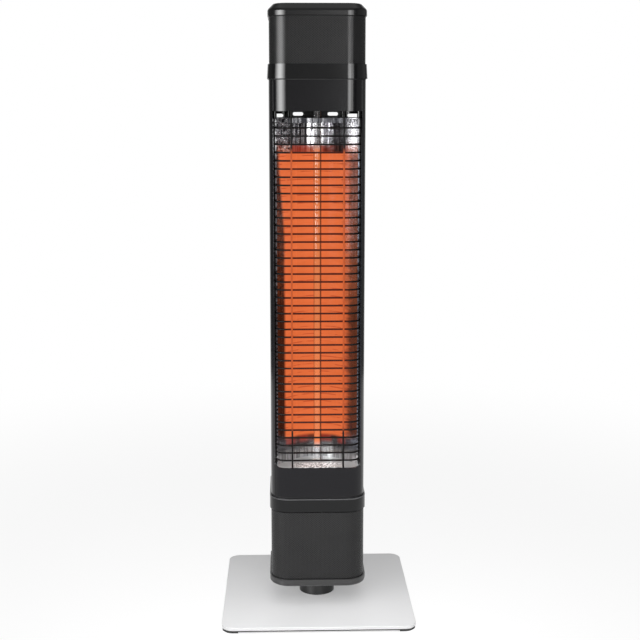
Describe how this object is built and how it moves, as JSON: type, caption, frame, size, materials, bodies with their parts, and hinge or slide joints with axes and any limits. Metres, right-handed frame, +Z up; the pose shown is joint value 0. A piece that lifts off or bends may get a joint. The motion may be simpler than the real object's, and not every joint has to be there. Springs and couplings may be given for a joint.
{
  "type": "infrared patio heater tower",
  "caption": "Free-standing infrared heater tower: square plate, swivelling black column with perforated speaker sections, reflector, glowing tube and wire guard.",
  "frame": {"origin": "on the floor under the middle of the square base plate", "axes": "+Z up along the column, -Y towards the heater's front, +X to the right of a person facing the front"},
  "size_m": [0.29, 0.29, 0.9166],
  "materials": {
    "plate_silver": "satin silver-grey powder coat",
    "casing_black": "smooth satin black coat",
    "mesh_black": "finely perforated sheet, black coat",
    "guard_black": "black coated wire",
    "trim_black": "moulded, satin",
    "chassis_black": "moulded, matt",
    "panel_black": "gloss",
    "key_grey": "satin",
    "foot_rubber": "matt",
    "underlay_black": "matt",
    "neck_black": "satin black coat",
    "bright_steel": "zinc plated",
    "washer_white": "slippery plastic",
    "bright_aluminium": "polished, lightly hammered",
    "shield_metal": "plain sheet",
    "quartz": "clear quartz, glowing when on",
    "element": "glowing",
    "steatite": "unglazed",
    "circuit_green": "lacquered board",
    "relay_black": "moulded",
    "terminal_white": "moulded",
    "cone_black": "pressed fibre",
    "surround_rubber": "soft roll",
    "magnet_dark": "ferrite and steel"
  },
  "bodies": {
    "base": {"base_plate": "plate_silver", "base_underlay": "underlay_black", "base_feet": "foot_rubber", "base_collar": "neck_black", "collar_screws": "bright_steel", "thrust_washer": "washer_white", "stop_pin": "bright_steel"},
    "column": {"swivel_spindle": "bright_steel", "swivel_spring_washer": "bright_steel", "swivel_nut": "bright_steel", "spindle_screws": "bright_steel", "lower_cap": "trim_black", "lower_chassis": "chassis_black", "lower_mesh_sleeve": "mesh_black", "lower_speaker_basket": "magnet_dark", "lower_speaker_magnet": "magnet_dark", "lower_speaker_cone": "cone_black", "lower_speaker_surround": "surround_rubber", "lower_ring": "trim_black", "case_screws": "bright_steel", "main_shell": "casing_black", "lower_fascia": "casing_black", "upper_fascia": "casing_black", "lower_end_plate": "bright_aluminium", "upper_end_plate": "bright_aluminium", "upper_bulkhead": "shield_metal", "reflector": "bright_aluminium", "heat_shield": "shield_metal", "thermal_cutout": "bright_steel", "heating_tube": "quartz", "heating_filament": "element", "tube_caps": "steatite", "tube_clips": "bright_steel", "return_wire": "bright_steel", "safety_grille": "guard_black", "control_board": "circuit_green", "relays": "relay_black", "tilt_switch": "relay_black", "terminal_block": "terminal_white", "amplifier_board": "circuit_green", "power_switch_frame": "trim_black", "cable_gland": "trim_black", "upper_ring": "trim_black", "upper_chassis": "chassis_black", "upper_mesh_sleeve": "mesh_black", "upper_speaker_basket": "magnet_dark", "upper_speaker_magnet": "magnet_dark", "upper_speaker_cone": "cone_black", "upper_speaker_surround": "surround_rubber", "top_cap": "trim_black", "control_panel": "panel_black", "key_board": "circuit_green"},
    "standby_key": {"standby_key": "key_grey"},
    "heat_key": {"heat_key": "key_grey"},
    "pairing_key": {"pairing_key": "key_grey"},
    "volume_down_key": {"volume_down_key": "key_grey"},
    "volume_up_key": {"volume_up_key": "key_grey"},
    "rocker": {"power_rocker": "panel_black"}
  },
  "joints": [
    {"name": "column_swivel", "type": "hinge", "parent": "base", "child": "column", "pos_m": [0, 0, 0.04], "axis": [0, 0, 1], "range_deg": [-40, 40]},
    {"name": "standby_press", "type": "slide", "parent": "column", "child": "standby_key", "axis": [0, 0, -1], "range_m": [0, 0.0008], "stiffness_N_per_m": 250, "springref_m": -0.001},
    {"name": "heat_press", "type": "slide", "parent": "column", "child": "heat_key", "axis": [0, 0, -1], "range_m": [0, 0.0008], "stiffness_N_per_m": 250, "springref_m": -0.001},
    {"name": "pairing_press", "type": "slide", "parent": "column", "child": "pairing_key", "axis": [0, 0, -1], "range_m": [0, 0.0008], "stiffness_N_per_m": 250, "springref_m": -0.001},
    {"name": "volume_down_press", "type": "slide", "parent": "column", "child": "volume_down_key", "axis": [0, 0, -1], "range_m": [0, 0.0008], "stiffness_N_per_m": 250, "springref_m": -0.001},
    {"name": "volume_up_press", "type": "slide", "parent": "column", "child": "volume_up_key", "axis": [0, 0, -1], "range_m": [0, 0.0008], "stiffness_N_per_m": 250, "springref_m": -0.001},
    {"name": "power_rock", "type": "hinge", "parent": "column", "child": "rocker", "pos_m": [0.02, 0.068, 0.204], "axis": [1, 0, 0], "range_deg": [0, 16]}
  ]
}
